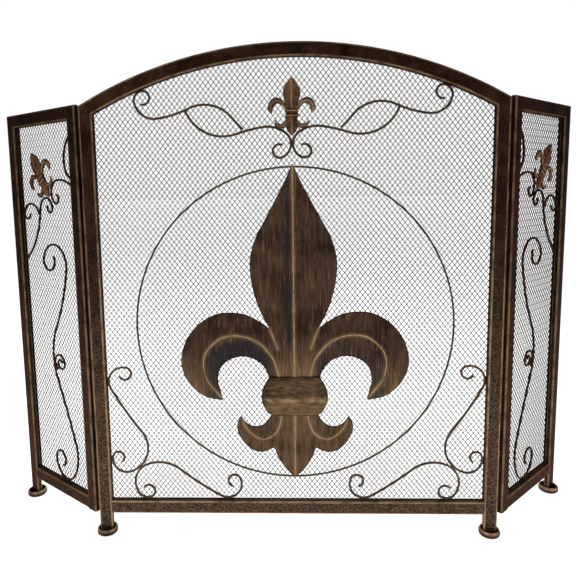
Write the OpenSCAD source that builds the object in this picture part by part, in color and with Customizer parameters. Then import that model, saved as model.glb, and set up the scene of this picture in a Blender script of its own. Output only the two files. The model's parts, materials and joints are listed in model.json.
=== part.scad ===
// Three-panel folding fireplace screen: an arched centre panel and two hinged side panels,
// steel tube frames with diamond wire mesh, scrolled rod ornament and stamped and cast fleurs.
// Origin on the floor, at the middle of the footprint. +Z is up, +X is the viewer's right,
// and the front of the screen faces -Y.

/* [Centre panel] */
// Width of the centre panel over its posts
centre_w = 700; // [600:10:800]
// Height of the posts' outer top corners, where the arch starts
shoulder_h = 748; // [650:2:800]
// Outer radius of the arched top rail
arch_r = 700; // [600:10:900]
// Underside of the bottom rails above the floor
rail_h = 38; // [30:1:60]

/* [Side panels] */
// Width of a side panel over its posts
side_w = 219; // [190:1:280]
// Height of a side panel's top edge
side_h = 751; // [650:1:800]
// How far the left panel is folded back from flat
left_fold = 36; // [0:1:90]
// How far the right panel is folded back from flat
right_fold = 43; // [0:1:90]

/* [Frame tube] */
// Face width of the frame tube
tube_w = 23; // [18:1:26]
// Depth of the frame tube, front to back
tube_d = 10; // [8:1:14]
// Wall thickness of the frame tube
tube_wall = 1.2; // [1:0.1:2]
// Rounding of the tube's long edges
tube_r = 2.5; // [1:0.5:3]

/* [Mesh] */
// Thickness of the sheet that stands for the woven wire
mesh_t = 0.5; // [0.3:0.1:1]
// Width of the flat strip that clamps the mesh edge
strip_w = 8; // [6:1:10]
// Thickness of that strip
strip_t = 2; // [1.5:0.5:3]

/* [Ornament] */
// Diameter of the scroll rods
rod_d = 4; // [3:0.5:5]
// Mean radius of the ring round the large fleur
ring_r = 269.5; // [250:0.5:280]
// Diameter of the ring's rod
ring_rod_d = 3.2; // [3:0.2:4]
// Height of the ring's centre
ring_z = 374.5; // [370:0.5:390]
// Sheet thickness of the large fleur
fleur_t = 1.5; // [1:0.5:3]
// Thickness of the cast small fleurs
cast_t = 5; // [4:0.5:6]
// Outward tilt of the fleurs on the side panels
side_fleur_tilt = 33; // [25:1:40]

/* [Feet] */
// Largest radius of a foot cup
foot_r = 18; // [17:0.5:22]
// Height of a foot cup
foot_h = 11; // [9:1:14]

/* [Hinges] */
// Height of each hinge leaf
leaf_h = 42; // [36:1:60]
// Height of the lower hinges' middles
hinge_low_z = 170; // [120:5:250]
// Height of the upper hinges' middles
hinge_high_z = 620; // [500:5:680]

/* [Hidden] */
// Pieces that each side panel has; their nodes are named left_side_... and right_side_...
SIDE_PARTS = ["inner_post", "outer_post", "top_rail", "bottom_rail", "mesh", "mesh_strip", "foot",
    "hinge_leaves", "fleur", "arch_rod", "link_rod", "vine_rod", "curl_rod", "hook_rod",
    "long_scroll", "rosette"];

$fn = 48;
BRONZE = "#3b2b22";
COPPER = "#6b5038";
MESH_GREY = "#7d756d";
BIG = 2000;
OVER = 1;
BEAD_GAP = 0.12;
BEAD_SCALE = 1.03;

// Corner points of a rounded rectangle are worked out, six steps to a corner.
CORNER_STEPS = 6;
opening_x = centre_w / 2 - tube_w;
opening_low = rail_h + tube_w;
arch_z = shoulder_h - sqrt(arch_r * arch_r - centre_w * centre_w / 4);
inner_r = arch_r - tube_w;
// Slope of the cut where the arch meets a post, from the outer corner to the inner one.
mitre_dz = shoulder_h - arch_z - sqrt(inner_r * inner_r - opening_x * opening_x);
mitre_angle = atan(mitre_dz / tube_w);
strip_y = tube_d + mesh_t;
lap = strip_w - 1;

// Hinge: half the gap between the posts, and how far the pin lies behind the front face.
hinge_gap = 0.4;
leaf_t = 1.5;
leaf_w = 12;
leaf_start = 3;
knuckle_r = 2.5;
pin_r = 1.25;
bore_r = 1.3;
pin_y = tube_d + 2.2;
axis_x = centre_w / 2 + hinge_gap;
knuckle_gap = 0.3;
pin_head_r = 2.2;
pin_head_h = 1.6;

// The rods lie against the mesh, and the castings against the rods.
rod_y = tube_d - rod_d / 2;
ring_y = tube_d - ring_rod_d / 2;
cast_y = tube_d - rod_d;
plate_y = tube_d - ring_rod_d;
foot_floor = 3;
leg_z = foot_floor;

// The origin is the middle of the footprint: the cup feet are the outermost pieces.
function side_foot(fold) = let (x = hinge_gap + side_w - tube_w / 2, y = tube_d / 2 - pin_y)
    [axis_x + x * cos(fold) - y * sin(fold), pin_y + x * sin(fold) + y * cos(fold)];
left_foot_at = side_foot(left_fold);
right_foot_at = side_foot(right_fold);
origin_x = (right_foot_at[0] - left_foot_at[0]) / 2;
origin_y = (max(left_foot_at[1], right_foot_at[1]) + tube_d / 2) / 2;

function arc_points(centre, r, from, to, steps) =
    [for (i = [0:steps]) centre + r * [cos(from + (to - from) * i / steps),
                                       sin(from + (to - from) * i / steps)]];

function rounded_box(w, d, r) = [for (q = [0:3])
    each arc_points([(w / 2 - r) * (q == 0 || q == 3 ? 1 : -1), (d / 2 - r) * (q < 2 ? 1 : -1)],
                    r, 90 * q, 90 * q + 90, CORNER_STEPS)];

// Smooth curve through the points, with the given number of steps between two of them.
function curve(p, steps = 5) = concat(
    [for (i = [0:len(p) - 2], k = [0:steps - 1]) blend(
        p[max(i - 1, 0)], p[i], p[i + 1], p[min(i + 2, len(p) - 1)], k / steps)],
    [p[len(p) - 1]]);
function blend(a, b, c, d, t) =
    0.5 * (2 * b + (c - a) * t + (2 * a - 5 * b + 4 * c - d) * t * t
           + (3 * b - a - 3 * c + d) * t * t * t);
function mirrored(p) = [for (i = [len(p) - 1:-1:0]) [-p[i][0], p[i][1]]];

// Length of square tube section, drawn in the XY plane and centred on the origin.
module tube_section(w, d) {
    difference() {
        polygon(rounded_box(w, d, tube_r));
        polygon(rounded_box(w - 2 * tube_wall, d - 2 * tube_wall, tube_r - tube_wall));
    }
}

// Upright tube: its outer edge at x = 0, its face to +X, its front at y = 0.
module upright(low, high) {
    translate([tube_w / 2, tube_d / 2, low])
        linear_extrude(high - low) tube_section(tube_w, tube_d);
}

// Level tube from x = from to x = to, its underside at the given height.
module level_tube(from, to, low) {
    translate([from, tube_d / 2, low + tube_w / 2]) rotate([0, 90, 0])
        linear_extrude(to - from) tube_section(tube_w, tube_d);
}

// Drawing plane for ornament: X across, Y up, and +Z towards the viewer, with z = 0 at depth y.
module upright_plane(y) {
    translate([0, y, 0]) rotate([90, 0, 0]) children();
}

module in_frame() {
    translate([-origin_x, -origin_y, 0]) children();
}

// Right-hand parts are drawn; the left ones mirror them.
module on_side(side) {
    if (side == "left") mirror([1, 0, 0]) children();
    else children();
}

// Bent rod: each bend is [radius, angle], and a positive angle turns to the left. The bends stop a
// little short of each other inside a round bead, a hair thicker than the rod, whose seam is turned
// to the rod's side.
module bent_rod(p, heading, bends, d = rod_d, i = 0) {
    if (i < len(bends)) {
        r = bends[i][0];
        a = bends[i][1];
        turn = sign(a);
        c = p + r * turn * [-sin(heading), cos(heading)];
        from = heading - 90 * turn;
        end = c + r * [cos(from + a), sin(from + a)];
        short = BEAD_GAP / r * 180 / PI;
        translate([c[0], c[1], 0]) rotate([0, 0, min(from, from + a) + short])
            rotate_extrude(angle = abs(a) - 2 * short) translate([r, 0]) circle(d = d);
        if (i < len(bends) - 1)
            translate([end[0], end[1], 0]) rotate([0, 0, heading + a + 90]) sphere(d = d * BEAD_SCALE);
        bent_rod(end, heading + a, bends, d, i + 1);
    }
}

// ---- Centre frame -------------------------------------------------------------------------

module centre_post(side) {
    color(BRONZE) on_side(side) difference() {
        translate([centre_w / 2, 0, 0]) mirror([1, 0, 0]) upright(leg_z, shoulder_h);
        translate([centre_w / 2, -OVER, shoulder_h]) rotate([0, -mitre_angle, 0])
            translate([-BIG / 2, 0, 0]) cube([BIG, tube_d + 2 * OVER, BIG]);
    }
}

module arch_rail() {
    sweep = 2 * asin(centre_w / 2 / arch_r) + 4;
    color(BRONZE) difference() {
        upright_plane(tube_d / 2) translate([0, arch_z, 0]) rotate([0, 0, 90 - sweep / 2])
            rotate_extrude(angle = sweep, $fn = 180) translate([arch_r - tube_w / 2, 0])
            tube_section(tube_w, tube_d);
        for (m = [0, 1]) mirror([m, 0, 0])
            translate([centre_w / 2, -OVER, shoulder_h]) rotate([0, -mitre_angle, 0])
            translate([-BIG / 2, 0, -BIG]) cube([BIG, tube_d + 2 * OVER, BIG]);
    }
}

module bottom_rail() {
    color(BRONZE) level_tube(-opening_x, opening_x, rail_h);
}

// Outline of the centre opening, grown outwards by the given margin.
function opening_outline(grow) =
    let (x = opening_x + grow, r = inner_r + grow, half = asin(x / r))
    concat([[x, opening_low - grow]],
           arc_points([0, arch_z], r, 90 - half, 90 + half, 48),
           [[-x, opening_low - grow]]);

module centre_mesh() {
    color(MESH_GREY) upright_plane(tube_d + mesh_t)
        linear_extrude(mesh_t) polygon(opening_outline(lap));
}

module centre_mesh_strip() {
    color(BRONZE) upright_plane(strip_y + strip_t) linear_extrude(strip_t) difference() {
        polygon(opening_outline(strip_w));
        polygon(opening_outline(0));
    }
}

// Round cup that a leg stands in.
module foot_cup() {
    rim_r = foot_r - 1.5;
    inside_r = foot_r - 4.2;
    profile = concat(
        [[0, 0], [foot_r - 3, 0]],
        arc_points([foot_r - 3, 3], 3, -70, 0, 4),
        arc_points([foot_r - 3, foot_h - 3], 3, 20, 90, 4),
        [[inside_r, foot_h - 1], [inside_r, foot_floor], [0, foot_floor]]);
    color(BRONZE) rotate_extrude($fn = 72) polygon(profile);
}

module centre_foot(side) {
    on_side(side) translate([centre_w / 2 - tube_w / 2, tube_d / 2, 0]) foot_cup();
}

// ---- Centre ornament ----------------------------------------------------------------------

// Right half of the large fleur, from the top tip down to the bottom one.
LARGE_PETAL = [[0, 650], [12, 623], [27, 594], [47, 557], [63, 527], [72, 496], [73, 468],
    [68, 436], [58, 404], [42, 372]];
LARGE_LEAF = [[42, 372], [60, 385], [82, 396], [108, 400], [133, 397], [158, 384], [178, 364],
    [191, 338], [195, 312], [189, 288], [175, 267], [153, 251], [124, 245]];
LARGE_LEAF_IN = [[124, 245], [128, 262], [132, 280], [128, 300], [116, 314], [98, 322],
    [80, 322], [62, 314], [50, 301], [44, 285]];
LARGE_BAND = [[44, 285], [54, 268], [57, 250], [52, 234], [40, 221]];
LARGE_LOWER_IN = [[40, 221], [47, 208], [59, 199], [73, 198], [85, 205], [93, 217]];
LARGE_LOWER = [[93, 217], [100, 203], [99, 186], [88, 167], [73, 154], [55, 151], [36, 159]];
LARGE_SPIKE = [[36, 159], [31, 144], [22, 128], [12, 115], [0, 105]];

function joined(parts) = [for (part = parts, i = [0:len(part) - 2]) part[i]];
large_half = joined([curve(LARGE_PETAL), curve(LARGE_LEAF), curve(LARGE_LEAF_IN),
    curve(LARGE_BAND), curve(LARGE_LOWER_IN), curve(LARGE_LOWER), curve(LARGE_SPIKE)]);

module large_fleur() {
    color(COPPER) upright_plane(plate_y) {
        linear_extrude(fleur_t) polygon(concat(
            large_half, [[0, 105]],
            [for (i = [len(large_half) - 1:-1:1]) [-large_half[i][0], large_half[i][1]]]));
        translate([0, 0, fleur_t]) linear_extrude(fleur_t)
            polygon(concat(curve(LARGE_BAND), mirrored(curve(LARGE_BAND))));
    }
}

module fleur_ring() {
    color(BRONZE) upright_plane(ring_y) translate([0, ring_z, 0])
        rotate_extrude($fn = 180) translate([ring_r, 0]) circle(d = ring_rod_d);
}

// Wire loops that hold the ring to the mesh.
module ring_ties() {
    tie_wire_d = 1;
    tie_r = 2.6;
    color(MESH_GREY) upright_plane(ring_y) translate([0, ring_z, 0])
        for (a = [0:60:300]) rotate([0, 0, a]) translate([ring_r, 0, 0]) rotate([90, 0, 0])
            rotate_extrude($fn = 32) translate([tie_r, 0]) circle(d = tie_wire_d, $fn = 16);
}

// Small cast fleur, its lower tip at the origin and its upper tip 95 above it.
SMALL_PETAL = [[0, 95], [7, 87], [13, 76], [14, 67], [12, 56], [10, 46]];
SMALL_LEAF = [[11, 52], [18, 60], [27, 62], [35, 57], [39, 48], [38, 41], [32, 37]];
SMALL_LEAF_IN = [[32, 37], [30, 46], [25, 52], [18, 51], [12, 45], [9, 40]];
SMALL_LOWER_IN = [[9, 30], [13, 22], [19, 20], [24, 22], [27, 27]];
SMALL_LOWER = [[27, 27], [28, 20], [24, 14], [17, 12], [10, 16]];
SMALL_SPIKE = [[10, 16], [7, 8], [0, 0]];

module small_fleur() {
    leaf = concat(curve(SMALL_LEAF, 3), curve(SMALL_LEAF_IN, 3), [[5, 42]]);
    lower = concat(curve(SMALL_LOWER_IN, 3), curve(SMALL_LOWER, 3), [[5, 18]]);
    petal = concat(curve(SMALL_PETAL, 3), [[9, 40], [10, 34], [10, 20]], curve(SMALL_SPIKE, 3));
    color(COPPER) {
        linear_extrude(cast_t) polygon(concat(petal, mirrored(petal)));
        for (m = [0, 1]) mirror([m, 0, 0]) linear_extrude(cast_t - 1) {
            polygon(leaf);
            polygon(lower);
        }
        translate([-11, 29, 0]) cube([22, 7, cast_t + 0.8]);
        translate([-11, 37, 0]) cube([22, 7, cast_t + 0.8]);
    }
}

top_fleur_z = 693;
module top_fleur() {
    upright_plane(cast_y) translate([0, top_fleur_z, 0]) small_fleur();
}

// The rods of the left half; the right half mirrors them.
UPPER_VINE = [[-245, 748.7], -6, [[11, 197], [15.8, 91], [33, 85], [177, 18], [59, -76], [179, 8]]];
LOWER_VINE = [[-173.5, 735.2], -67, [[66, 85], [286, -9], [50, -46], [23, -123], [11, -220]]];
POST_SCROLL = [[-304, 286], -54, [[11, 223], [26, 130], [679, 8], [47, -109], [24, -125], [10, -216]]];
RAIL_SCROLL = [[-269, 84], 46, [[11, -194], [17, -86], [36, -105], [59, -60], [548, 9], [25, 146],
    [11, 221]]];

module centre_rod(side, rod) {
    color(BRONZE) on_side(side == "left" ? "right" : "left")
        upright_plane(rod_y) bent_rod(rod[0], rod[1], rod[2]);
}

// ---- Hinges -------------------------------------------------------------------------------

// Knuckle or bore cylinder on the right hinge axis.
module on_axis(low, height, r) {
    translate([axis_x, pin_y, low]) cylinder(h = height, r = r);
}

// One leaf for a face on the +X side of the axis, with its knuckles in the given thirds.
module leaf(middle, thirds) {
    low = middle - leaf_h / 2;
    third = leaf_h / 3;
    difference() {
        union() {
            translate([axis_x + leaf_start, tube_d, low]) cube([leaf_w, leaf_t, leaf_h]);
            for (k = thirds) {
                z = low + k * third + knuckle_gap / 2;
                on_axis(z, third - knuckle_gap, knuckle_r);
                translate([axis_x, tube_d, z]) cube([leaf_start + OVER, leaf_t, third - knuckle_gap]);
            }
        }
        on_axis(low - OVER, leaf_h + 2 * OVER, bore_r);
    }
}

module frame_leaves(side) {
    color(BRONZE) on_side(side) for (z = [hinge_low_z, hinge_high_z])
        translate([2 * axis_x, 0, 0]) mirror([1, 0, 0]) leaf(z, [0, 2]);
}

module hinge_pins(side) {
    color(BRONZE) on_side(side) for (z = [hinge_low_z, hinge_high_z]) {
        on_axis(z - leaf_h / 2, leaf_h, pin_r);
        on_axis(z + leaf_h / 2, pin_head_h, pin_head_r);
    }
}

// ---- Side panels --------------------------------------------------------------------------

// Places a side panel: it is drawn flat to the right of x = 0, then folded back on its hinge.
module fold_back(side) {
    angle = side == "left" ? left_fold : right_fold;
    on_side(side) translate([axis_x, pin_y, 0]) rotate([0, 0, angle])
        translate([hinge_gap, -pin_y, 0]) children();
}

// Cut at 45 degrees through a top corner at height side_h; keeps what lies below it.
module top_corner_cut(x, direction) {
    translate([x, -OVER, side_h]) rotate([0, 45 * direction, 0])
        translate([-BIG / 2, 0, 0]) cube([BIG, tube_d + 2 * OVER, BIG]);
}

module side_inner_post() {
    color(BRONZE) difference() {
        upright(rail_h, side_h);
        top_corner_cut(0, 1);
    }
}

module side_outer_post() {
    color(BRONZE) difference() {
        translate([side_w - tube_w, 0, 0]) upright(leg_z, side_h);
        top_corner_cut(side_w, -1);
    }
}

module side_top_rail() {
    color(BRONZE) intersection() {
        level_tube(0, side_w, side_h - tube_w);
        upright_plane(tube_d + OVER) linear_extrude(tube_d + 2 * OVER) polygon(
            [[0, side_h], [side_w, side_h], [side_w - tube_w - OVER, side_h - tube_w - OVER],
             [tube_w + OVER, side_h - tube_w - OVER]]);
    }
}

module side_bottom_rail() {
    color(BRONZE) level_tube(tube_w, side_w - tube_w, rail_h);
}

module side_sheet(grow, y, t) {
    translate([tube_w - grow, y, opening_low - grow])
        cube([side_w - 2 * tube_w + 2 * grow, t, side_h - tube_w - opening_low + 2 * grow]);
}

module side_mesh() {
    color(MESH_GREY) side_sheet(lap, tube_d, mesh_t);
}

module side_mesh_strip() {
    color(BRONZE) difference() {
        side_sheet(strip_w, strip_y, strip_t);
        side_sheet(0, strip_y - OVER, strip_t + 2 * OVER);
    }
}

module side_foot() {
    translate([side_w - tube_w / 2, tube_d / 2, 0]) foot_cup();
}

module side_hinge_leaves() {
    color(BRONZE) translate([-axis_x - hinge_gap, 0, 0])
        for (z = [hinge_low_z, hinge_high_z]) leaf(z, [1]);
}

module side_fleur() {
    upright_plane(cast_y) translate([97, 600, 0]) rotate([0, 0, -side_fleur_tilt]) small_fleur();
}

module side_rod(rod) {
    color(BRONZE) upright_plane(rod_y) bent_rod(rod[0], rod[1], rod[2]);
}

ARCH_ROD = [[109, 583], -70, [[8, -204], [19, -137], [33, -31], [135, 47]]];
LINK_ROD = [[25.2, 614.8], 39, [[67, -45], [22, -138], [8, -197]]];
VINE_ROD = [[25.2, 706], -34, [[54, -58], [34, -70]]];
CURL_ROD = [[139, 569], 72, [[27, -130], [10, -200]]];
HOOK_ROD = [[25.4, 667], -82, [[18, 24], [14, 26]]];
LONG_SCROLL = [[99, 492], -117, [[18, 227], [37, 172], [359, 19], [107, -56], [1400, 5], [71, 58],
    [32, 158], [15, 226]]];
// Loose coil that opens out until it meets the long scroll.
ROSETTE = [[93.56, 295.05], 70, [[6, -160], [10.5, -180], [15.5, -235]]];

// ---- Assembly -----------------------------------------------------------------------------

module side_part(part) {
    if (part == "inner_post") side_inner_post();
    if (part == "outer_post") side_outer_post();
    if (part == "top_rail") side_top_rail();
    if (part == "bottom_rail") side_bottom_rail();
    if (part == "mesh") side_mesh();
    if (part == "mesh_strip") side_mesh_strip();
    if (part == "foot") side_foot();
    if (part == "hinge_leaves") side_hinge_leaves();
    if (part == "fleur") side_fleur();
    if (part == "arch_rod") side_rod(ARCH_ROD);
    if (part == "link_rod") side_rod(LINK_ROD);
    if (part == "vine_rod") side_rod(VINE_ROD);
    if (part == "curl_rod") side_rod(CURL_ROD);
    if (part == "hook_rod") side_rod(HOOK_ROD);
    if (part == "long_scroll") side_rod(LONG_SCROLL);
    if (part == "rosette") side_rod(ROSETTE);
}

in_frame() centre_post("left");  // left_post
in_frame() centre_post("right");  // right_post
in_frame() arch_rail();
in_frame() bottom_rail();
in_frame() centre_mesh();
in_frame() centre_mesh_strip();
in_frame() centre_foot("left");  // left_foot
in_frame() centre_foot("right");  // right_foot
in_frame() large_fleur();
in_frame() fleur_ring();
in_frame() ring_ties();
in_frame() top_fleur();
in_frame() centre_rod("left", UPPER_VINE);  // left_upper_vine
in_frame() centre_rod("right", UPPER_VINE);  // right_upper_vine
in_frame() centre_rod("left", LOWER_VINE);  // left_lower_vine
in_frame() centre_rod("right", LOWER_VINE);  // right_lower_vine
in_frame() centre_rod("left", POST_SCROLL);  // left_post_scroll
in_frame() centre_rod("right", POST_SCROLL);  // right_post_scroll
in_frame() centre_rod("left", RAIL_SCROLL);  // left_rail_scroll
in_frame() centre_rod("right", RAIL_SCROLL);  // right_rail_scroll
in_frame() frame_leaves("left");  // left_hinge_frame_leaves
in_frame() frame_leaves("right");  // right_hinge_frame_leaves
in_frame() hinge_pins("left");  // left_hinge_pins
in_frame() hinge_pins("right");  // right_hinge_pins
for (side = ["left", "right"], part = SIDE_PARTS)
    in_frame() fold_back(side) side_part(part);
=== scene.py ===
"""Looks of the three-panel fireplace screen. Each panel is drawn flat in millimetres: x across (from
the hinge on a side panel), y back from the front face, z up. Panel.place carries it to the frame."""

import json
import math

import bmesh
import bpy
import numpy as np
from mathutils import Matrix, Vector, geometry, noise


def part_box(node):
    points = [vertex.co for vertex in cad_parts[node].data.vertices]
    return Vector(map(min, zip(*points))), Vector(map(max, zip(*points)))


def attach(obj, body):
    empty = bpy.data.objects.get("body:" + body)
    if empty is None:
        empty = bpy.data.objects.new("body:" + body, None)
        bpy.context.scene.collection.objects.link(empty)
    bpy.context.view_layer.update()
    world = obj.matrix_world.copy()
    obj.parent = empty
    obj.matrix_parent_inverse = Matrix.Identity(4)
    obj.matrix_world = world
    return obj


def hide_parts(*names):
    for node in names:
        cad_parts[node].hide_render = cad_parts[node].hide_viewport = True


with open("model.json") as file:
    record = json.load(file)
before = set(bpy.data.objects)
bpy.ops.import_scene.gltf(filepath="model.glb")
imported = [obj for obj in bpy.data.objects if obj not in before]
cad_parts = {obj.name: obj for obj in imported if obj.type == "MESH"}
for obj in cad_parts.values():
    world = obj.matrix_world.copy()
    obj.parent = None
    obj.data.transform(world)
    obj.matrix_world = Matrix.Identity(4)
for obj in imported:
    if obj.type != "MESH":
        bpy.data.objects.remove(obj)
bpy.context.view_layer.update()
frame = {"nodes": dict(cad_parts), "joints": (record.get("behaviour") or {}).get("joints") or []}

MM = 0.001

# ---- Sizes in millimetres, read from the CAD nodes where they show it ----------------------------


def span(node):
    """Lowest and highest corner of a CAD node, in millimetres."""
    low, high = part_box(node)
    return np.array(low) / MM, np.array(high) / MM


post_low, post_high = span("right_post")
left_post_low, _ = span("left_post")
front_y = post_low[1]
tube_w, tube_d = post_high[0] - post_low[0], post_high[1] - post_low[1]
centre_w = post_high[0] - left_post_low[0]
centre_x = (post_high[0] + left_post_low[0]) / 2
shoulder_h, leg_z = post_high[2], post_low[2]
rail_h = span("bottom_rail")[0][2]
side_h = span("left_side_top_rail")[1][2]
foot_low, foot_high = span("right_foot")
foot_r, foot_h = (foot_high[0] - foot_low[0]) / 2, foot_high[2]
sagitta = span("arch_rail")[1][2] - shoulder_h
arch_r = (centre_w**2 / 4 + sagitta**2) / (2 * sagitta)
arch_z = shoulder_h + sagitta - arch_r
inner_r = arch_r - tube_w
opening_x, opening_low = centre_w / 2 - tube_w, rail_h + tube_w
mid_y = tube_d / 2

# The same numbers as in the CAD.
SIDE_W = 219.0
HINGE_GAP = 0.4
TUBE_R = 2.5
ROD_R = 2.0
RING_R, RING_ROD_R, RING_Z = 269.5, 1.6, 374.5
SIDE_FLEUR_AT, SIDE_FLEUR_TILT = (97.0, 600.0), 33.0
TOP_FLEUR_Z = 693.0

# Only the visual model shows these: how far the worn edges, with their painted highlight, reach on to
# the faces, and the wires.
EDGE_REACH = 1.3
WIRE_R, WIRE_CRIMP, WIRE_Y = 0.6, 0.4, tube_d + 0.25
DIAMOND_W, DIAMOND_H = 8.7, 11.1

# Backs of the castings, which lie on the rods, and of the large fleur, which lies on its ring.
CAST_Y = tube_d - 2 * ROD_R
PLATE_Y = tube_d - 2 * RING_ROD_R

# ---- Panels --------------------------------------------------------------------------------------


class Panel:
    """Where a flat drawing in millimetres lies in the frame, and the body it rides on."""

    def __init__(self, body, matrix):
        self.body, self.matrix = body, matrix

    def place(self, points):
        """The drawing's points in the frame, in metres."""
        return points @ np.array(self.matrix)[:3, :3].T + np.array(self.matrix)[:3, 3]

    def turned(self, matrix):
        """The same panel with a drawing that is moved first, such as a mirrored half."""
        return Panel(self.body, self.matrix @ matrix)


def side_panel(side):
    """A side panel, folded back from flat by the joint's lower limit."""
    joint = next(j for j in frame["joints"] if j["child"] == f"{side}_panel")
    fold = Matrix.Rotation(-math.radians(joint["range_deg"][0]), 4, "Z")
    hinge_y = joint["pos_m"][1] / MM - front_y
    mirror = Matrix.Diagonal((-1 if side == "left" else 1, 1, 1, 1))
    pivot = Matrix.Translation((joint["pos_m"][0], joint["pos_m"][1], 0))
    return Panel(f"{side}_panel", pivot @ mirror @ fold @ Matrix.Scale(MM, 4)
                 @ Matrix.Translation((HINGE_GAP, -hinge_y, 0)))


SCALE = Matrix.Scale(MM, 4)
MIRROR = Matrix.Diagonal((-1, 1, 1, 1))
# Ornament on the centre panel is drawn on its left half.
CENTRE = Panel("centre_panel", SCALE @ Matrix.Translation((centre_x, front_y, 0)))
SIDES = {side: side_panel(side) for side in ("left", "right")}
HALVES = {"left": CENTRE, "right": CENTRE.turned(MIRROR)}

# ---- Mesh building -------------------------------------------------------------------------------


class Shape:
    """Points, faces and per-point values of one piece, gathered part by part."""

    def __init__(self):
        self.points, self.faces, self.values = [], [], {}

    def add(self, points, faces, **values):
        """Adds a part; each value is one number or one number a point."""
        first = sum(len(p) for p in self.points)
        self.points.append(np.asarray(points, float))
        self.faces += [tuple(first + i for i in face) for face in faces]
        for key, value in values.items():
            self.values.setdefault(key, []).append(np.broadcast_to(value, len(points)))
        return self

    def moved(self, matrix):
        """The shape itself, moved by the matrix."""
        turn, shift = np.array(matrix)[:3, :3], np.array(matrix)[:3, 3]
        self.points = [p @ turn.T + shift for p in self.points]
        return self


def make_piece(name, panel, shape, material, nodes=(), sharp=40):
    """Makes the mesh object, shades it smooth up to the sharp angle in degrees, ties it to its
    body and hides the CAD nodes it stands for."""
    mesh = bpy.data.meshes.new(name)
    mesh.from_pydata(panel.place(np.concatenate(shape.points)).tolist(), [], shape.faces)
    whole = bmesh.new()
    whole.from_mesh(mesh)
    bmesh.ops.recalc_face_normals(whole, faces=whole.faces)
    whole.to_mesh(mesh)
    whole.free()
    for key, parts in shape.values.items():
        mesh.attributes.new(key, "FLOAT", "POINT").data.foreach_set(
            "value", np.concatenate(parts).astype(np.float32))
    mesh.shade_smooth()
    mesh.set_sharp_from_angle(angle=math.radians(sharp))
    mesh.materials.append(material)
    piece = bpy.data.objects.new(name, mesh)
    bpy.context.scene.collection.objects.link(piece)
    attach(piece, panel.body)
    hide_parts(*nodes)
    return piece


def loft(rings):
    """Points and faces of a closed skin over rings that have equally many points."""
    n, last = len(rings[0]), len(rings) - 1
    faces = [(k * n + i, k * n + (i + 1) % n, (k + 1) * n + (i + 1) % n, (k + 1) * n + i)
             for k in range(last) for i in range(n)]
    return np.concatenate(rings), faces + [tuple(range(n)), tuple(range(last * n, (last + 1) * n))]


# Sides of the four corners of a section, in turning order.
CORNERS = [(1, 1), (-1, 1), (-1, -1), (1, -1)]


def tube_section(corner_steps=4):
    """Rounded section of the frame tube as (across, deep, wear and highlight). The long edges get
    the most, worn copper with a painted highlight on the rounded corners, and it reaches a little way
    on to the faces."""
    section = []
    for quarter, (across, deep) in enumerate(CORNERS):
        for k in range(-1, corner_steps + 2):
            turned = min(max(k, 0), corner_steps)
            past = (k - turned) * EDGE_REACH
            a = math.pi / 2 * (quarter + turned / corner_steps)
            wear = 0.6 + 0.4 * math.sin(math.pi * turned / corner_steps) if not past else 0.0
            section.append((across * (tube_w / 2 - TUBE_R) + TUBE_R * math.cos(a) - past * math.sin(a),
                            deep * (tube_d / 2 - TUBE_R) + TUBE_R * math.sin(a) + past * math.cos(a),
                            wear))
    return section


SECTION = tube_section()


def tube(path, steps=40):
    """Frame tube along path(t, across), which gives x and z for t from 0 to 1."""
    rings = []
    for k in range(steps + 1):
        at = [path(k / steps, across) for across, _, _ in SECTION]
        rings.append(np.array([(x, mid_y + deep, z) for (x, z), (_, deep, _) in zip(at, SECTION)]))
    points, faces = loft(rings)
    return Shape().add(points, faces, wear=np.tile([wear for _, _, wear in SECTION], steps + 1))


def lathe(profile, x, y, segments=56):
    """Ring-shaped solid from a closed profile of (radius, height, wear and highlight), turned about x,
    y.
    """
    n = len(profile)
    turn = [2 * math.pi * k / segments for k in range(segments)]
    points = [(x + r * math.cos(a), y + r * math.sin(a), z) for a in turn for r, z, _ in profile]
    faces = [(k * n + i, k * n + (i + 1) % n, (k + 1) % segments * n + (i + 1) % n,
              (k + 1) % segments * n + i) for k in range(segments) for i in range(n)]
    return points, faces, [wear for _ in turn for _, _, wear in profile]


def bent_path(start, heading, bends, step=3.0, step_angle=9):
    """Points and headings along a bent rod; a bend is (radius, angle), left turns positive. step
    and step_angle are the longest chord and the widest turn between points."""
    points, headings = [np.array(start, float)], [math.radians(heading)]
    for radius, angle in bends:
        turn, first = math.copysign(1, angle), headings[-1]
        centre = points[-1] + radius * turn * np.array([-math.sin(first), math.cos(first)])
        steps = max(2, math.ceil(abs(angle) / step_angle),
                    math.ceil(radius * math.radians(abs(angle)) / step))
        for k in range(1, steps + 1):
            h = first + math.radians(angle) * k / steps
            points.append(centre + radius * turn * np.array([math.sin(h), -math.cos(h)]))
            headings.append(h)
    return np.array(points), np.array(headings)


def rod(points, headings, y, radius, closed=False, sides=12):
    """Round rod in the panel's plane at depth y, with rounded ends and a hand-worked unevenness."""
    cap_angles, unevenness, waviness = (0.5, 1.0, 1.4), 0.06, 0.09
    stations = [(p, h, 1.0) for p, h in zip(points, headings)]
    if not closed:
        for end, way in ((0, -1), (-1, 1)):
            p, h = points[end], headings[end]
            ahead = np.array([math.cos(h), math.sin(h)]) * way * radius
            caps = [(p + ahead * math.sin(a), h, math.cos(a)) for a in cap_angles]
            stations = stations + caps if way > 0 else caps[::-1] + stations
    rings, wear = [], []
    around = [2 * math.pi * i / sides for i in range(sides)]
    for p, h, share in stations:
        uneven = 1 + unevenness * noise.noise(Vector((p[0], y, p[1])) * waviness)
        r = radius * share * uneven
        rings.append(np.array([(p[0] - math.sin(h) * r * math.cos(a), y - r * math.sin(a),
                                p[1] + math.cos(h) * r * math.cos(a)) for a in around]))
        # Strongest on the rod's front: rubbed copper with a painted highlight.
        wear += [max(0.0, math.sin(a)) ** 2 for a in around]
    points, faces = loft(rings)
    return Shape().add(points, faces, wear=wear)


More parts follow.
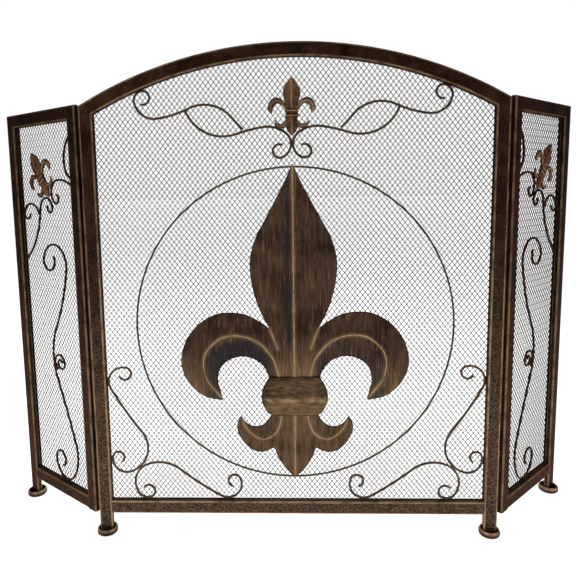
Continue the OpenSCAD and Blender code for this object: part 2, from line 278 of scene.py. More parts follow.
def bead(shape, x, y, z, size, seed=0.0):
    """A lumpy weld bead, a little flatter from front to back."""
    lumpiness, flatness = 0.28, 0.7
    ball = bmesh.new()
    bmesh.ops.create_icosphere(ball, subdivisions=3, radius=1.0)
    points = []
    for v in ball.verts:
        lump = 1 + lumpiness * noise.noise(v.co * 1.6 + Vector((x, z, seed)))
        points.append((x + v.co.x * size * lump, y + v.co.y * size * flatness * lump,
                       z + v.co.z * size * lump))
    faces = [tuple(v.index for v in f.verts) for f in ball.faces]
    ball.free()
    shape.add(points, faces, wear=0.75)


def spline(points, steps=6):
    """Smooth curve through the points."""
    out = []
    for i in range(len(points) - 1):
        a, b = points[max(i - 1, 0)], points[i]
        c, d = points[i + 1], points[min(i + 2, len(points) - 1)]
        for k in range(steps):
            t = k / steps
            out.append(tuple(0.5 * (2 * b[j] + (c[j] - a[j]) * t
                                    + (2 * a[j] - 5 * b[j] + 4 * c[j] - d[j]) * t * t
                                    + (3 * b[j] - a[j] - 3 * c[j] + d[j]) * t**3) for j in (0, 1)))
    return out + [tuple(points[-1])]


def spaced(line, gap, closed=False):
    """The line's points again, evenly spaced by about the gap, its own ends kept."""
    line = np.array(list(line) + ([line[0]] if closed else []), float)
    along = np.concatenate([[0], np.cumsum(np.linalg.norm(np.diff(line, axis=0), axis=1))])
    at = np.linspace(0, along[-1], max(2, round(along[-1] / gap) + 1))
    found = np.stack([np.interp(at, along, line[:, i]) for i in (0, 1)], 1)
    return found[:-1] if closed else found


def distance(points, lines):
    """Shortest distance from each point to any of the lines."""
    best = np.full(len(points), 1e9)
    for line in lines:
        line = np.asarray(line, float)
        for a, b in zip(line[:-1], line[1:]):
            ab = b - a
            t = np.clip((points - a) @ ab / max(ab @ ab, 1e-12), 0, 1)
            best = np.minimum(best, np.linalg.norm(points - a - t[:, None] * ab, axis=1))
    return best


def both(lines):
    """The lines and their mirror images."""
    return lines + [[(-x, z) for x, z in line] for line in lines]


# For a relief's grid: row spacing and the least room to its lines, as shares of the gap.
ROW_SHARE, LINE_ROOM = 0.87, 0.45
# Distance given to points that have no line near them.
FAR = 99.0


def relief(shape, outline, ridges, seams, gap, height, soften, power, thick, back_y, paint=None,
           lined=True):
    """Embossed sheet: it rises from its outline to its ridges, to the given height where it is
    wide against soften. A power over 1 dishes the flanks and one under 1 swells them. Seams only
    mark the surface. gap is the distance between points. paint gives, at x, z, the painted shade
    and the value for bared metal and painted highlight. Only a lined one has its ridges and seams
    picked out, for the painted highlight along them."""
    border = spaced(outline, gap, closed=True)
    loop = np.vstack([border, border[:1]])
    creases = [spaced(line, gap) for line in ridges + seams]
    low, high = border.min(0), border.max(0)
    rows = np.arange(low[1], high[1], gap * ROW_SHARE)
    grid = np.array([(x, z) for k, z in enumerate(rows)
                     for x in np.arange(low[0] + (k % 2) * gap / 2, high[0], gap)])
    near = np.minimum(distance(grid, [loop]), distance(grid, creases))
    points, edges = [Vector(p) for p in border], []
    for line in creases:
        first = len(points)
        points += [Vector(p) for p in line]
        edges += [(first + k, first + k + 1) for k in range(len(line) - 1)]
    points += [Vector(p) for p in grid[near > gap * LINE_ROOM]]
    made = geometry.delaunay_2d_cdt(points, edges, [list(range(len(border)))], 1, 1e-4)
    flat, faces = np.array([tuple(v) for v in made[0]]), [tuple(f) for f in made[2]]
    rim, ridge = distance(flat, [loop]), distance(flat, ridges)
    # Distance to the ridges and seams, for the painted highlight and glow along them.
    marks = np.minimum(ridge, distance(flat, seams)) if lined else np.full(len(flat), FAR)
    rise = height * (1 - np.exp(-(rim + ridge) / soften)) * (rim / (rim + ridge + 1e-9)) ** power
    front = np.column_stack([flat[:, 0], back_y - thick - rise, flat[:, 1]])
    back = front + np.array([0, thick, 0])
    uses = {}
    for f in faces:
        for edge in zip(f, f[1:] + f[:1]):
            uses[frozenset(edge)] = uses.get(frozenset(edge), 0) + 1
    n = len(flat)
    rim_edges = [tuple(edge) for edge, times in uses.items() if times == 1]
    walls = [(a, b, b + n, a + n) for a, b in rim_edges]
    shade = np.array([paint(x, z) for x, z in flat]) if paint else np.zeros((n, 2))
    shape.add(np.vstack([front, back]), faces + [tuple(i + n for i in f) for f in faces] + walls,
              ridge_d=np.tile(marks, 2), rim_d=np.tile(rim, 2), hollow=np.tile(shade[:, 0], 2),
              polish=np.tile(shade[:, 1], 2))


# ---- Materials -----------------------------------------------------------------------------------

# Shine of metal seen edge-on, the dark paint left in the castings' streaks, and the painted shade round
# their rims.
EDGE_TINT, SOOT, RIM_SHADE = "#b39478", "#120c09", "#120d0a"


def colour(text):
    """Linear RGBA of a hex colour."""
    parts = [int(text[i:i + 2], 16) / 255 for i in (1, 3, 5)]
    return [c / 12.92 if c < 0.04045 else ((c + 0.055) / 1.055) ** 2.4 for c in parts] + [1]


class Nodes:
    """Short way to write a node tree: each call adds a node and returns its output."""

    def __init__(self, name):
        self.material = bpy.data.materials.new(name)
        self.material.use_nodes = True
        self.tree = self.material.node_tree
        self.shader = self.tree.nodes["Principled BSDF"]
        self.position = self.tree.nodes.new("ShaderNodeTexCoord").outputs["Object"]

    def fill(self, socket, value):
        """Sets a socket, by a link if the value is another node's output."""
        if isinstance(value, bpy.types.NodeSocket):
            self.tree.links.new(value, socket)
        else:
            socket.default_value = value

    def noise(self, scale, detail=3.0, roughness=0.55, stretch=(1, 1, 1)):
        """Noise from 0 to 1; scale is in features a metre."""
        mapping = self.tree.nodes.new("ShaderNodeMapping")
        self.fill(mapping.inputs["Vector"], self.position)
        mapping.inputs["Scale"].default_value = stretch
        node = self.tree.nodes.new("ShaderNodeTexNoise")
        self.fill(node.inputs["Vector"], mapping.outputs[0])
        node.inputs["Scale"].default_value = scale
        node.inputs["Detail"].default_value = detail
        node.inputs["Roughness"].default_value = roughness
        return node.outputs["Fac"]

    def value(self, name):
        """One of the mesh's per-point values."""
        node = self.tree.nodes.new("ShaderNodeAttribute")
        node.attribute_name = name
        return node.outputs["Fac"]

    def math(self, operation, a, b=0.0):
        node = self.tree.nodes.new("ShaderNodeMath")
        node.operation = operation
        self.fill(node.inputs[0], a)
        self.fill(node.inputs[1], b)
        return node.outputs[0]

    def range(self, value, low, high, to_low=0.0, to_high=1.0):
        """Smooth step from low to high."""
        node = self.tree.nodes.new("ShaderNodeMapRange")
        node.interpolation_type = "SMOOTHSTEP"
        for socket, number in zip(node.inputs[:5], (value, low, high, to_low, to_high)):
            self.fill(socket, number)
        return node.outputs[0]

    def mix(self, share, a, b):
        """Colour a, with a share of colour b laid over it."""
        node = self.tree.nodes.new("ShaderNodeMix")
        node.data_type = "RGBA"
        self.fill(node.inputs["Factor"], share)
        first, second, result = 6, 7, 2  # the colour sockets among those of every data type
        self.fill(node.inputs[first], a)
        self.fill(node.inputs[second], b)
        return node.outputs[result]

    def height(self):
        """Height of the surface above the floor, in metres."""
        node = self.tree.nodes.new("ShaderNodeSeparateXYZ")
        self.fill(node.inputs[0], self.position)
        return node.outputs["Z"]

    def finish(self, base, roughness, bump, distance_m, metallic, strength=0.5):
        """Fills the shader and returns the material."""
        self.fill(self.shader.inputs["Base Color"], base)
        self.fill(self.shader.inputs["Roughness"], roughness)
        self.shader.inputs["Metallic"].default_value = metallic
        if metallic:
            self.shader.inputs["Specular Tint"].default_value = colour(EDGE_TINT)
        node = self.tree.nodes.new("ShaderNodeBump")
        node.inputs["Strength"].default_value = strength
        node.inputs["Distance"].default_value = distance_m
        self.fill(node.inputs["Height"], bump)
        self.fill(self.shader.inputs["Normal"], node.outputs[0])
        return self.material


def antique(name, dark, brown, copper, edge, edge_share, speckle, low_grain_and_reflection=0.0):
    """Dark bronze paint, mottled from dark to brown, flecked with copper by the share speckle and
    rubbed back to the edge colour along worn edges, which carry a painted highlight too. This grows
    towards the floor, partly as wear and partly as a painted reflection of the pale floor. There, by
    the share given for the floor, copper shows through the paint's grain too, again partly grain and
    partly painted reflection."""
    n = Nodes(name)
    mottle = n.range(n.noise(28, 5), 0.35, 0.68)
    strokes = n.noise(230, 5, 0.85, (1, 1, 3)), n.noise(230, 5, 0.85, (3, 3, 1))
    grain = n.math("MULTIPLY", n.math("ADD", *strokes), 0.5)
    flecks = n.math("MULTIPLY", n.range(grain, 0.52, 0.64), n.range(n.noise(40, 4), 0.35, 0.65))
    # Worn edges, with the painted highlight that the edge value also carries.
    rubbed_and_sheen = n.math("MULTIPLY", n.range(n.value("wear"), 0.15, 0.9),
                    n.range(n.noise(45, 5), 0.35, 0.6, 0.35, 1.0))
    # Stronger towards the floor: wear, and a painted reflection of the pale floor.
    rubbed_and_sheen = n.math("MULTIPLY", rubbed_and_sheen, n.range(n.height(), 0.8, 0.1, 0.45, 1.0))
    base = n.mix(mottle, colour(dark), colour(brown))
    base = n.mix(n.math("MULTIPLY", flecks, speckle), base, colour(copper))
    if low_grain_and_reflection:
        # Copper in the grain near the floor: grain, and a painted reflection of the pale floor.
        low = n.math("MULTIPLY", n.range(n.height(), 0.62, 0.06), n.range(grain, 0.47, 0.57))
        base = n.mix(n.math("MULTIPLY", low, low_grain_and_reflection), base, colour(copper))
    base = n.mix(n.math("MULTIPLY", rubbed_and_sheen, edge_share), base, colour(edge))
    return n.finish(base, n.range(n.noise(120, 4), 0.3, 0.7, 0.38, 0.6), grain, 0.0005, 0.85)


def embossed(name, dark, brown, copper, shade_colour, highlight, line, stretch):
    """Brushed copper finish of the fleurs, with painted light in it: a painted highlight on the
    ridges with a lighter painted glow beside them, painted bluish shade where the pressing's shade
    value is set, and broken painted shade round the rims. The polish value says where the dark paint
    is rubbed off, and on the band where a painted highlight falls. line scales the width of ridges and
    rims, and stretch the brush strokes."""
    n = Nodes(name)
    brushed = n.noise(30, 6, 0.75, stretch)
    fine = n.noise(600, 3, 0.7)
    cloud = n.noise(16, 5)
    base = n.mix(n.range(cloud, 0.35, 0.65), colour(dark), colour(brown))
    base = n.mix(n.range(brushed, 0.5, 0.34, 0.0, 0.7), base, colour(SOOT))
    base = n.mix(n.range(brushed, 0.52, 0.72, 0.0, 0.5), base, colour(copper))
    # Painted bluish shade where the pressing's shade value is set.
    hollow = n.math("MULTIPLY", n.value("hollow"), n.range(brushed, 0.72, 0.42))
    base = n.mix(hollow, base, colour(shade_colour))
    # Bared copper where the polish value is set; on the band this is a painted highlight.
    bared_and_highlight = n.math("MULTIPLY", n.value("polish"), n.range(brushed, 0.34, 0.62, 0.25, 1.0))
    base = n.mix(bared_and_highlight, base, colour(copper))
    # Painted glow: lighter copper along the ridges and seams, standing in for the light on the relief.
    painted_glow = n.math("MULTIPLY", n.range(n.value("ridge_d"), 6.0 * line, 0.6 * line),
                  n.range(cloud, 0.3, 0.6, 0.1, 0.45))
    base = n.mix(painted_glow, base, colour(copper))
    # Painted shade round the rims, broken by noise.
    rim = n.math("MULTIPLY", n.range(n.value("rim_d"), 2.6 * line, 0.5 * line),
                 n.range(n.noise(55, 3), 0.35, 0.6, 0.35, 1.0))
    base = n.mix(n.math("MULTIPLY", rim, 0.85), base, colour(RIM_SHADE))
    # Painted highlight on the ridges and seams.
    ridge_highlight = n.math("MULTIPLY", n.range(n.value("ridge_d"), 1.2 * line, 0.3 * line),
                    n.range(n.noise(90, 3), 0.25, 0.65, 0.2, 0.85))
    base = n.mix(ridge_highlight, base, colour(highlight))
    return n.finish(base, n.range(brushed, 0.3, 0.7, 0.36, 0.56), fine, 0.0004, 0.85)


def wire_finish():
    """Dull bronze wire, lighter where the finish is thin."""
    n = Nodes("mesh_wire")
    patchy = n.range(n.noise(160, 4), 0.35, 0.7)
    base = n.mix(patchy, colour("#0c0907"), colour("#2e2520"))
    fine = n.noise(1500, 2)
    return n.finish(base, n.range(fine, 0.3, 0.7, 0.4, 0.6), fine, 0.0001, 0.5)


# The side panels turn away from the light in the photo and look darker there.
# Their frame and rod finishes below are darker copies of the centre's: painted shade.
FRAME = antique("frame_bronze", "#140a06", "#2c1a11", "#84705b", "#a58a6b",
                edge_share=0.8, speckle=0.4, low_grain_and_reflection=0.7)
SHADED_SIDE_FRAME = antique("shaded_side_frame_bronze", "#140a06", "#2c1a11", "#705c4a", "#94795c",
                     edge_share=0.6, speckle=0.35, low_grain_and_reflection=0.55)
ROD = antique("scroll_rod", "#1d130d", "#37261c", "#7d6650", "#7d6650",
              edge_share=0.35, speckle=0.35, low_grain_and_reflection=0.5)
SHADED_SIDE_ROD = antique("shaded_side_scroll_rod", "#0f0806", "#25160f", "#6f5540", "#6f5540",
                   edge_share=0.25, speckle=0.3, low_grain_and_reflection=0.3)
FOOT = antique("foot_cup", "#100a07", "#291b13", "#a98a70", "#c09a80", edge_share=0.8, speckle=0.35)
HINGE = antique("hinge_steel", "#1f1613", "#35261f", "#6b5343", "#6b5343", edge_share=0.0, speckle=0.4)
FLEUR = embossed("fleur_pressed", "#2b1e17", "#46342a", "#8a6f50", "#1e2025", "#a78f70",
                 line=1.0, stretch=(9, 9, 0.7))
BAND_SKIN = embossed("fleur_band", "#2a1e17", "#4a3829", "#a08260", "#15100c", "#b39a6c",
                     line=1.0, stretch=(2, 8, 7))
CAST = embossed("fleur_cast", "#3c2a1e", "#624735", "#93755a", "#2c211a", "#a58a6c",
                line=0.45, stretch=(4, 4, 4))
WIRE = wire_finish()

# ---- Frames --------------------------------------------------------------------------------------

# Each path(t, across) gives x and z on a tube, for t from 0 to 1 and across its width. The posts
# and side panels are drawn to the right. The arch meets a post along a sloping cut.
mitre_slope = (shoulder_h - arch_z - math.sqrt(inner_r**2 - opening_x**2)) / tube_w


def centre_post(t, across):
    x = centre_w / 2 - tube_w / 2 + across
    top = shoulder_h - (centre_w / 2 - x) * mitre_slope
    return x, leg_z + t * (top - leg_z)


def arch(t, across):
    r = arch_r - tube_w / 2 + across
    level = shoulder_h - arch_z - centre_w / 2 * mitre_slope
    end = math.acos(level / (r * math.hypot(1, mitre_slope))) - math.atan(mitre_slope)
    angle = end * (2 * t - 1)
    return r * math.sin(angle), arch_z + r * math.cos(angle)


def bottom_rail(t, across):
    return opening_x * (2 * t - 1), rail_h + tube_w / 2 + across


def side_inner_post(t, across):
    u = tube_w / 2 + across
    return u, rail_h + t * (side_h - u - rail_h)


def side_outer_post(t, across):
    u = SIDE_W - tube_w / 2 + across
    return u, leg_z + t * (side_h - (SIDE_W - u) - leg_z)


def side_top_rail(t, across):
    z = side_h - tube_w / 2 + across
    inset = side_h - z
    return inset + t * (SIDE_W - 2 * inset), z


def side_bottom_rail(t, across):
    return tube_w + t * (SIDE_W - 2 * tube_w), rail_h + tube_w / 2 + across


def foot(x):
    """Cup foot under a post at x: a rounded wall round a shallow well, with a worn rim that carries a
    painted highlight too.
    """
    r, h, well, bottom = foot_r, foot_h, foot_r - 4.2, 3.0
    profile = [(0.01, 0, 0), (r - 4, 0, 0), (r - 2.2, 0.5, 0), (r - 0.8, 1.8, 0.1), (r - 0.15, 3.4, 0.2)]
    profile += [(r, 5.4, 0.3), (r - 0.2, 7.4, 0.5), (r - 0.8, h - 2, 0.8), (r - 1.7, h - 0.7, 1)]
    profile += [(r - 2.7, h - 0.1, 1), (r - 3.5, h - 0.5, 0.9), (well, h - 1.6, 0.4)]
    profile += [(well - 0.1, bottom + 0.6, 0), (well - 0.6, bottom, 0), (0.01, bottom, 0)]
    points, faces, wear = lathe(profile, x, mid_y)
    return Shape().add(points, faces, wear=wear)


for side, half in HALVES.items():
    from_right = half.turned(MIRROR)
    make_piece(f"{side}_post_tube", from_right, tube(centre_post), FRAME,
               [f"{side}_post"])
    make_piece(f"{side}_foot_cup", from_right, foot(centre_w / 2 - tube_w / 2), FOOT,
               [f"{side}_foot"])
make_piece("arch_rail_tube", CENTRE, tube(arch, 96), FRAME, ["arch_rail"])
make_piece("bottom_rail_tube", CENTRE, tube(bottom_rail), FRAME, ["bottom_rail"])

SIDE_TUBES = {"inner_post": side_inner_post, "outer_post": side_outer_post,
              "top_rail": side_top_rail, "bottom_rail": side_bottom_rail}
for side, panel in SIDES.items():
    for part, path in SIDE_TUBES.items():
        make_piece(f"{side}_side_{part}_tube", panel, tube(path), SHADED_SIDE_FRAME,
                   [f"{side}_side_{part}"])
    make_piece(f"{side}_side_foot_cup", panel, foot(SIDE_W - tube_w / 2), FOOT,
               [f"{side}_side_foot"])

# ---- Woven mesh ----------------------------------------------------------------------------------


def woven(inside, x_from, x_to, z_from, z_to):
    """Slanting crimped wires that pass over and under each other where inside(x, z) holds, and
    one crossing further, under the frame. They are square in section, an edge to the front."""
    shape = Shape()
    half_w, half_h = DIAMOND_W / 2, DIAMOND_H / 2
    columns, rows = math.ceil((x_to - x_from) / half_w) + 2, math.ceil((z_to - z_from) / half_h) + 2
    length = math.hypot(half_w, half_h)
    for lean in (1, -1):
        sideways = WIRE_R * np.array([-half_h * lean, 0, half_w]) / length
        section = np.array([sideways, (0, -WIRE_R, 0), -sideways, (0, WIRE_R, 0)])
        for wire in range(-rows, columns + rows):
            nodes = []
            for i in range(-1, columns):
                j = (i - 2 * wire) * lean
                nodes.append((x_from + i * half_w, z_from + j * half_h, i))
            held = [k for k, (x, z, _) in enumerate(nodes) if inside(x, z)]
            if not held:
                continue
            run = nodes[max(0, held[0] - 1):held[-1] + 2]
            centres = [(x, WIRE_Y + WIRE_CRIMP * lean * (-1) ** i, z) for x, z, i in run]
            points, faces = loft([np.array(c) + section for c in centres])
            shape.add(points, faces)
    return shape


def in_centre(x, z):
    return abs(x) <= opening_x and z >= opening_low and math.hypot(x, z - arch_z) <= inner_r


def in_side(u, z):
    return tube_w <= u <= SIDE_W - tube_w and opening_low <= z <= side_h - tube_w


ALL_SMOOTH = 180
make_piece("centre_woven_mesh", CENTRE,
           woven(in_centre, -opening_x, opening_x, opening_low, arch_z + inner_r),
           WIRE, ["centre_mesh"], sharp=ALL_SMOOTH)
for side, panel in SIDES.items():
    make_piece(f"{side}_side_woven_mesh", panel,
               woven(in_side, tube_w, SIDE_W - tube_w, opening_low, side_h - tube_w),
               WIRE, [f"{side}_side_mesh"], sharp=ALL_SMOOTH)

# ---- Rods ----------------------------------------------------------------------------------------

# Left half of the centre panel: start, heading, bends as (radius, angle).
CENTRE_RODS = {
    "upper_vine": ((-245, 748.7), -6, [(11, 197), (15.8, 91), (33, 85), (177, 18), (59, -76), (179, 8)]),
    "lower_vine": ((-173.5, 735.2), -67, [(66, 85), (286, -9), (50, -46), (23, -123), (11, -220)]),
    "post_scroll": ((-304, 286), -54, [(11, 223), (26, 130), (679, 8), (47, -109), (24, -125),
                                       (10, -216)]),
    "rail_scroll": ((-269, 84), 46, [(11, -194), (17, -86), (36, -105), (59, -60), (548, 9),
                                     (25, 146), (11, 221)]),
}
# A side panel, drawn to the right.
SIDE_RODS = {
    "arch_rod": ((109, 583), -70, [(8, -204), (19, -137), (33, -31), (135, 47)]),
    "link_rod": ((25.2, 614.8), 39, [(67, -45), (22, -138), (8, -197)]),
    "vine_rod": ((25.2, 706), -34, [(54, -58), (34, -70)]),
    "curl_rod": ((139, 569), 72, [(27, -130), (10, -200)]),
    "hook_rod": ((25.4, 667), -82, [(18, 24), (14, 26)]),
    "long_scroll": ((99, 492), -117, [(18, 227), (37, 172), (359, 19), (107, -56), (1400, 5),
                                      (71, 58), (32, 158), (15, 226)]),
    "rosette": ((93.56, 295.05), 70, [(6, -160), (10.5, -180), (15.5, -235)]),
}


def welds(paths, edge_gap):
    """Beads where rods touch each other or the frame; edge_gap gives a point's room to the frame."""
    shape = Shape()
    y = tube_d - ROD_R
    frame_reach, frame_bead, rod_reach, rod_bead = (share * ROD_R for share in (1.8, 1.25, 2.6, 1.2))
    for k, path in enumerate(paths):
        rooms = np.array([edge_gap(*p) for p in path])
        best = int(rooms.argmin())
        if rooms[best] < frame_reach:
            x, z = path[best]
            bead(shape, x, y, z, frame_bead, k)
        for other in paths[k + 1:]:
            apart = np.linalg.norm(path[:, None] - other[None], axis=2)
            i, j = np.unravel_index(apart.argmin(), apart.shape)
            if apart[i, j] < rod_reach:
                x, z = (path[i] + other[j]) / 2
                bead(shape, x, y, z, rod_bead, k)
    return shape


def centre_room(x, z):
    return min(opening_x - abs(x), z - opening_low, inner_r - math.hypot(x, z - arch_z))


def side_room(u, z):
    return min(u - tube_w, SIDE_W - tube_w - u, z - opening_low, side_h - tube_w - z)


centre_paths = []
for part, (start, heading, bends) in CENTRE_RODS.items():
    line, headings = bent_path(start, heading, bends)
    centre_paths += [line, line * (-1, 1)]
    for side, half in HALVES.items():
        make_piece(f"{side}_{part}_rod", half, rod(line, headings, tube_d - ROD_R, ROD_R), ROD,
                   [f"{side}_{part}"])

RING_STEPS = 180
ring_at = np.linspace(0, 2 * math.pi, RING_STEPS + 1)
ring_line = np.stack([RING_R * np.cos(ring_at), RING_Z + RING_R * np.sin(ring_at)], 1)
make_piece("fleur_ring_rod", CENTRE,
           rod(ring_line, ring_at + math.pi / 2, tube_d - RING_ROD_R, RING_ROD_R, closed=True),
           ROD, ["fleur_ring"])

# The mitres have a bead on their face too, this share of the tube's width in from the corner.
MITRE_BEAD_AT, MITRE_BEAD_R, MITRE_BEAD_Y = 0.62, 1.7, 0.6
centre_welds = welds(centre_paths, centre_room)
for way in (-1, 1):
    bead(centre_welds, way * (centre_w / 2 - MITRE_BEAD_AT * tube_w), MITRE_BEAD_Y,
         shoulder_h - MITRE_BEAD_AT * tube_w * mitre_slope, MITRE_BEAD_R)
make_piece("centre_weld_beads", CENTRE, centre_welds, ROD)

for side, panel in SIDES.items():
    side_paths = []
    for part, (start, heading, bends) in SIDE_RODS.items():
        line, headings = bent_path(start, heading, bends)
        side_paths.append(line)
        make_piece(f"{side}_side_{part}_wire", panel, rod(line, headings, tube_d - ROD_R, ROD_R),
                   SHADED_SIDE_ROD, [f"{side}_side_{part}"])
    make_piece(f"{side}_side_weld_beads", panel, welds(side_paths, side_room), SHADED_SIDE_ROD)

# ---- Large fleur ---------------------------------------------------------------------------------

# Right half of the outline, from the top tip down to the bottom one, as x and height.
PETAL = [(0, 650), (12, 623), (27, 594), (47, 557), (63, 527), (72, 496), (73, 468), (68, 436),
         (58, 404), (42, 372)]
LEAF = [(42, 372), (60, 385), (82, 396), (108, 400), (133, 397), (158, 384), (178, 364), (191, 338),
        (195, 312), (189, 288), (175, 267), (153, 251), (124, 245)]
LEAF_IN = [(124, 245), (128, 262), (132, 280), (128, 300), (116, 314), (98, 322), (80, 322),
           (62, 314), (50, 301), (44, 285)]
BAND = [(44, 285), (54, 268), (57, 250), (52, 234), (40, 221)]
LOWER_IN = [(40, 221), (47, 208), (59, 199), (73, 198), (85, 205), (93, 217)]
LOWER = [(93, 217), (100, 203), (99, 186), (88, 167), (73, 154), (55, 151), (36, 159)]
SPIKE = [(36, 159), (31, 144), (22, 128), (12, 115), (0, 105)]
LEAF_RIDGE = [(27, 288), (34, 315), (45, 332), (59, 347), (78, 357), (101, 361), (124, 357),
              (141, 344), (152, 330), (156, 313), (154, 295), (149, 280), (138, 265), (126, 249)]
LOWER_RIDGE = [(91, 213), (87, 200), (78, 188), (65, 179), (53, 176), (37, 183), (27, 199), (22, 222)]
PETAL_SEAM = [(42, 372), (35, 355), (28, 337)]


def outline_of(*parts):
    """Closed outline from its right half's parts."""
    right = [p for part in parts for p in spline(part)[:-1]] + [parts[-1][-1]]
    return right + [(-x, z) for x, z in reversed(right) if x > 0.01]


def fade(value, low, high):
    """From 0 at low to 1 at high."""
    return min(1.0, max(0.0, (value - low) / (high - low)))


def fleur_paint(x, z):
    """Painted bluish shade left of the petal's ridge and inside the leaves, most on the left; bared
    metal towards the band.
    """
    off_ridge = distance(np.array([(abs(x), z)]), [LEAF_RIDGE if z > 240 else LOWER_RIDGE])[0]
    hollow = 0.0
    if z > 286 and abs(x) < 27:
        hollow = max(0.0, 1 - abs(x + 9) / 12) * (0.55 + 0.45 * fade(z, 320, 380))
    elif z > 240 and math.hypot(abs(x) - 92, z - 285) < 68 and off_ridge > 1:
        hollow = 0.9 if x < 0 else 0.9 * fade(z, 340, 285) + 0.15
    elif z < 215 and z > 182 and abs(x) > 24:
        hollow = 0.5
    polish = 0.6 * fade(z, 350, 290) * fade(abs(x), 46, 30) if z > 270 else 0.0
    polish += 0.6 * fade(z, 330, 255) * fade(abs(x), 120, 165) if z > 240 else 0.3
    return hollow, min(1.0, polish)


def band_paint(x, z):
    """Painted light on the band: a painted highlight over its lower half, brighter in patches along its
    fold, over a little bared metal all over; painted shade in the crease above the fold and at its upper
    ends.
    """
    highlight_spots = ((-44, 5), (-10, 14), (26, 9), (46, 5))
    highlight_patches = sum(math.exp(-((x - at) / width) ** 2) for at, width in highlight_spots)
    fold = math.exp(-((z - 248) / 3.2) ** 2)
    crease = math.exp(-((z - 256.5) / 2.6) ** 2)
    # Painted shade in the crease above the fold and at the band's upper ends.
    dark = min(1.0, 0.8 * crease + 0.6 * fade(abs(x), 30, 52) * fade(z, 252, 262))
    return dark, min(1.0, 0.12 + 0.2 * fade(z, 256, 244) + fold * highlight_patches)


FLEUR_SHARP = 60
large = Shape()
relief(large, outline_of(PETAL, LEAF, LEAF_IN, BAND, LOWER_IN, LOWER, SPIKE),
       both([spline(LEAF_RIDGE, 3), spline(LOWER_RIDGE, 3)]) + [[(0, 647), (0, 108)]],
       both([spline(PETAL_SEAM, 3)]), gap=3.4, height=5.4, soften=14, power=1.35, thick=1.5,
       back_y=PLATE_Y, paint=fleur_paint)
make_piece("large_fleur_pressing", CENTRE, large, FLEUR, ["large_fleur"],
           sharp=FLEUR_SHARP)
# The waist band stands proud of the pressing, so that the petal's ridge doesn't come through it.
BAND_PROUD = 2.5
band = Shape()
relief(band, outline_of([(0, 288), (38, 287), *BAND, (0, 219)]), [[(-36, 249), (36, 249)]], [],
       gap=2.6, height=3.4, soften=8, power=0.5, thick=5.0, back_y=PLATE_Y - BAND_PROUD,
       paint=band_paint, lined=False)
make_piece("large_fleur_band", CENTRE, band, BAND_SKIN, sharp=FLEUR_SHARP)

# ---- Small fleurs --------------------------------------------------------------------------------

# Right half of the body, and the right leaves with their ridges, from the body's foot at 0, 0.
S_BODY = [(0, 95), (7, 87), (13, 76), (14, 67), (12, 56), (9, 44), (9, 22), (10, 16), (7, 8), (0, 0)]
S_LEAF = [(7, 44), (11, 52), (18, 60), (27, 62), (35, 57), (39, 48), (38, 41), (32, 37), (30, 46),
          (25, 52), (18, 51), (12, 45), (7, 38)]
S_LEAF_RIDGE = [(8, 42), (14, 51), (21, 56), (28, 56), (33, 51), (35, 44), (34, 40)]
S_LOWER = [(7, 30), (13, 22), (19, 20), (24, 22), (27, 27), (28, 20), (24, 14), (17, 12), (7, 18)]
S_LOWER_RIDGE = [(8, 23), (14, 17), (20, 16), (25, 19), (26.6, 24)]


def bar(low, high, half, corner=2.4):
    """Outline of a rounded bar across the fleur."""
    points = []
    corner_steps = 4
    for quarter, (a, b) in enumerate(CORNERS):
        for k in range(corner_steps + 1):
            turn = math.pi / 2 * (quarter + k / corner_steps)
            points.append((a * (half - corner) + corner * math.cos(turn),
                           (low + high) / 2 + b * ((high - low) / 2 - corner) + corner * math.sin(turn)))
    return points


def small_fleur():
    """Cast fleur: a body with a ridge above and below the waist, two leaves a side and two bars."""
    shape = Shape()
    relief(shape, outline_of(S_BODY), [[(0, 92), (0, 46)], [(0, 28), (0, 4)]], [],
           gap=1.6, height=2.6, soften=5, power=0.65, thick=2.2, back_y=CAST_Y)
    for way in (1, -1):
        for edge, ridge in ((S_LEAF, S_LEAF_RIDGE), (S_LOWER, S_LOWER_RIDGE)):
            relief(shape, [(way * x, z) for x, z in spline(edge + edge[:1], 3)[:-1]],
                   [[(way * x, z) for x, z in spline(ridge, 3)]], [],
                   gap=1.5, height=3.0, soften=3, power=0.6, thick=1.8, back_y=CAST_Y)
    bar_h, bar_half, ridge_half = 7, 11, 8.5
    for low in (29, 37):
        middle = low + bar_h / 2
        relief(shape, bar(low, low + bar_h, bar_half), [[(-ridge_half, middle), (ridge_half, middle)]],
               [], gap=1.4, height=2.6, soften=2, power=0.5, thick=3.4, back_y=CAST_Y)
    return shape


make_piece("top_fleur_casting", CENTRE, small_fleur().moved(Matrix.Translation((0, 0, TOP_FLEUR_Z))),
           CAST, ["top_fleur"], sharp=FLEUR_SHARP)
tilted = (Matrix.Translation((SIDE_FLEUR_AT[0], 0, SIDE_FLEUR_AT[1]))
          @ Matrix.Rotation(math.radians(SIDE_FLEUR_TILT), 4, "Y"))
for side, panel in SIDES.items():
    make_piece(f"{side}_side_fleur_casting", panel, small_fleur().moved(tilted), CAST,
               [f"{side}_side_fleur"], sharp=FLEUR_SHARP)

# ---- CAD nodes that stay as they are: a finish of their own --------------------------------------

NODE_SHARP = 35
NODE_LOOKS = {"hinge": ("hinge_steel", HINGE), "strip": ("frame_bronze", HINGE),
              "ties": ("mesh_wire", WIRE)}
for node, piece in frame["nodes"].items():
    for word, (slot, material) in NODE_LOOKS.items():
        if word in node:
            piece.data.materials.clear()
            piece.data.materials.append(material)
            piece.data.shade_smooth()
            piece.data.set_sharp_from_angle(angle=math.radians(NODE_SHARP))

# ---- Studio --------------------------------------------------------------------------------------


# The floor gives off some light, so that it is as white as the backdrop and has no horizon.
FLOOR_GLOW, FLOOR_REACH = 0.62, 30.0
WORLD_LIGHT = 0.45

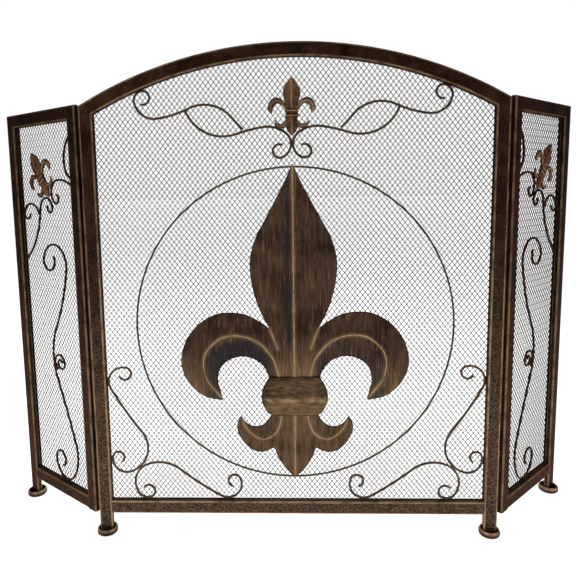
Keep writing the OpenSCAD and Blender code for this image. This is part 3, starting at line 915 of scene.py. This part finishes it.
# Found by fitting one camera to the frame's straight edges in the photo.
CAMERA_YAW, CAMERA_PITCH, CAMERA_ROLL = -2.13, -6.81, -0.95
CAMERA_AT = (-0.00549, -0.98817, 0.61086)
CAMERA_LENS, SENSOR_W = 34.45, 36.0
CAMERA_SHIFT = (0.0401, -0.0605)


def floor():
    """Plain pale floor, very slightly uneven in tone."""
    n = Nodes("pale_floor")
    tone = n.noise(2, 2)
    material = n.finish(n.mix(tone, (0.9, 0.9, 0.9, 1), (0.94, 0.94, 0.94, 1)), 0.9, tone, 0.0001, 0.0)
    n.shader.inputs["Emission Color"].default_value = (1, 1, 1, 1)
    n.shader.inputs["Emission Strength"].default_value = FLOOR_GLOW
    mesh = bpy.data.meshes.new("floor")
    reach = FLOOR_REACH
    mesh.from_pydata([(-reach, -reach, 0), (reach, -reach, 0), (reach, reach, 0), (-reach, reach, 0)],
                     [], [(0, 1, 2, 3)])
    mesh.materials.append(material)
    plane = bpy.data.objects.new("floor", mesh)
    bpy.context.scene.collection.objects.link(plane)


def area_light(name, at, towards, size, power):
    """Round soft light; its size is in metres and its power in watts."""
    light = bpy.data.lights.new(name, "AREA")
    light.shape, light.size, light.energy = "DISK", size, power
    holder = bpy.data.objects.new(name, light)
    holder.location = at
    holder.rotation_euler = (Vector(towards) - Vector(at)).to_track_quat("-Z", "Y").to_euler()
    bpy.context.scene.collection.objects.link(holder)


def surroundings(light_level):
    """White backdrop for the camera and a softer white for the light it gives."""
    world = bpy.data.worlds.new("studio")
    bpy.context.scene.world = world
    world.use_nodes = True
    tree = world.node_tree
    back = tree.nodes["Background"]
    seen = tree.nodes.new("ShaderNodeLightPath")
    level = tree.nodes.new("ShaderNodeMapRange")
    tree.links.new(seen.outputs["Is Camera Ray"], level.inputs["Value"])
    level.inputs["To Min"].default_value = light_level
    level.inputs["To Max"].default_value = 1.0
    back.inputs["Color"].default_value = (1, 1, 1, 1)
    tree.links.new(level.outputs[0], back.inputs["Strength"])


def camera():
    """Camera at eye height, a little left of the middle, looking slightly down."""
    yaw, pitch, roll = (math.radians(a) for a in (CAMERA_YAW, CAMERA_PITCH, CAMERA_ROLL))
    forward = Vector((math.sin(yaw) * math.cos(pitch), math.cos(yaw) * math.cos(pitch), math.sin(pitch)))
    right = Vector((math.cos(yaw), -math.sin(yaw), 0))
    up = right.cross(forward)
    across = right * math.cos(roll) + up * math.sin(roll)
    upright = up * math.cos(roll) - right * math.sin(roll)
    data = bpy.data.cameras.new("camera")
    data.lens, data.sensor_width = CAMERA_LENS, SENSOR_W
    data.shift_x, data.shift_y = CAMERA_SHIFT
    data.clip_end = 100
    holder = bpy.data.objects.new("camera", data)
    turn = Matrix((across, upright, -forward)).transposed().to_4x4()
    holder.matrix_world = Matrix.Translation(CAMERA_AT) @ turn
    bpy.context.scene.collection.objects.link(holder)
    bpy.context.scene.camera = holder


floor()
surroundings(WORLD_LIGHT)
area_light("key", at=(-1.3, -2.0, 1.9), towards=(0, 0, 0.4), size=1.3, power=26)
area_light("fill", at=(1.8, -1.5, 1.0), towards=(0, 0, 0.4), size=1.6, power=10)
area_light("top", at=(0.2, 0.9, 2.2), towards=(0, 0, 0.3), size=1.5, power=14)
camera()
bpy.context.scene.view_settings.view_transform = "Standard"
